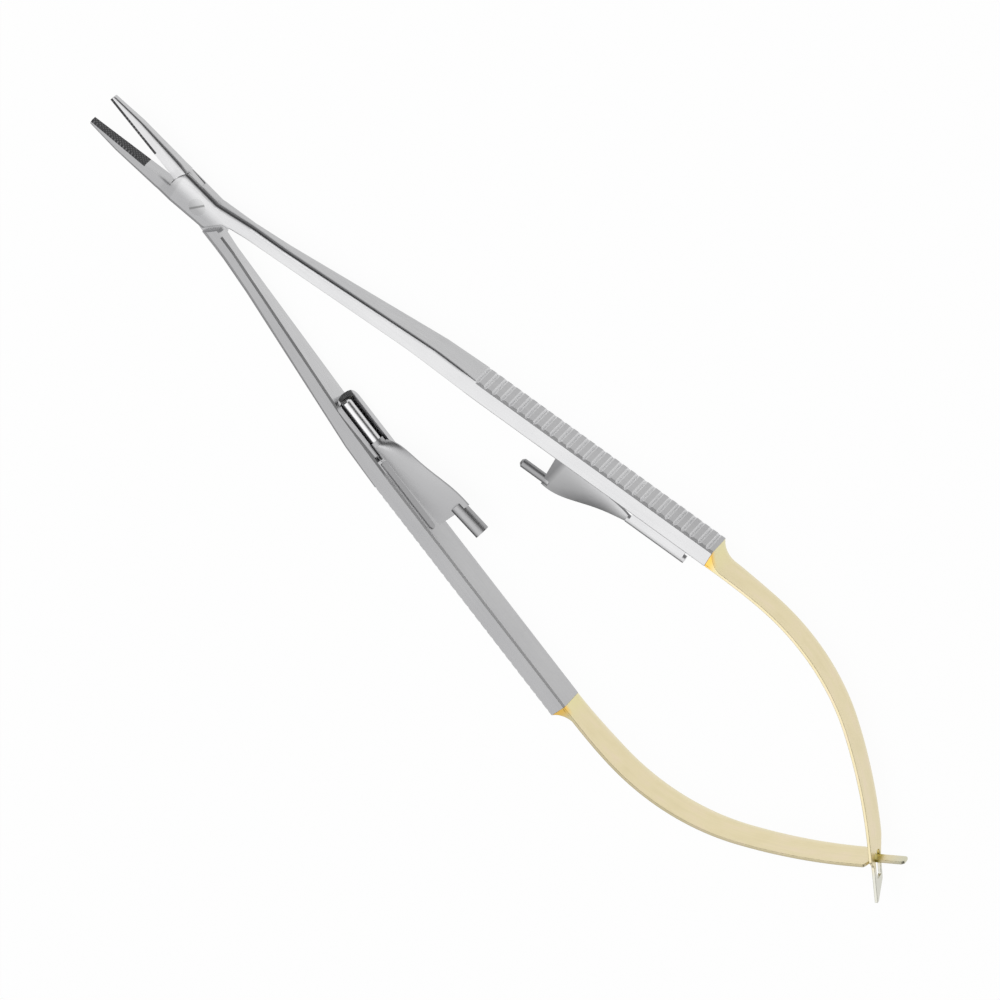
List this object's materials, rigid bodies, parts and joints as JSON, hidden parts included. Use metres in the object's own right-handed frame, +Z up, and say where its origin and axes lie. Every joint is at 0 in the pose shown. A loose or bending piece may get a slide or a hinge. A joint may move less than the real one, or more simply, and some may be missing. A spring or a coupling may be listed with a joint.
{
  "type": "surgical needle holder",
  "caption": "Micro needle holder with straight fine jaws, a box joint, flat serrated spring handles, a swinging hook lock between them and gold-plated crossed leaf springs.",
  "frame": {"origin": "middle of the tool's outline on the plane that it rests on", "axes": "+X from the jaws to the tail, +Y across to the arm that holds the keeper, +Z up from the table"},
  "size_m": [0.1371, 0.0348, 0.0045],
  "materials": {
    "arm_steel": "satin brushed stainless steel",
    "lock_steel": "polished stainless steel",
    "gold_plate": "pale satin gold plating",
    "jaw_insert": "dark ground hard metal, finely cross-cut"
  },
  "bodies": {
    "box_arm_body": {"box_arm": "arm_steel", "pivot_pin": "arm_steel", "lower_jaw_insert": "jaw_insert", "upper_leaf_spring": "gold_plate", "lock_keeper": "lock_steel"},
    "through_arm_body": {"through_arm": "arm_steel", "upper_jaw_insert": "jaw_insert", "lower_leaf_spring": "gold_plate", "catch_pin": "lock_steel", "catch_spring": "lock_steel"},
    "catch_body": {"lock_catch": "lock_steel"}
  },
  "joints": [
    {"name": "jaw_pivot", "type": "hinge", "parent": "box_arm_body", "child": "through_arm_body", "pos_m": [-0.05168, 0, 0.00225], "axis": [0, 0, 1], "range_deg": [0, 13.6], "stiffness_Nm_per_rad": 0.35, "deforming": ["upper_leaf_spring", "lower_leaf_spring"]},
    {"name": "catch_swing", "type": "hinge", "parent": "through_arm_body", "child": "catch_body", "pos_m": [-0.02044, -0.00615, 0.00275], "axis": [-0.9848, 0.1736, 0], "range_deg": [-8, 14.5], "stiffness_Nm_per_rad": 0.003}
  ]
}
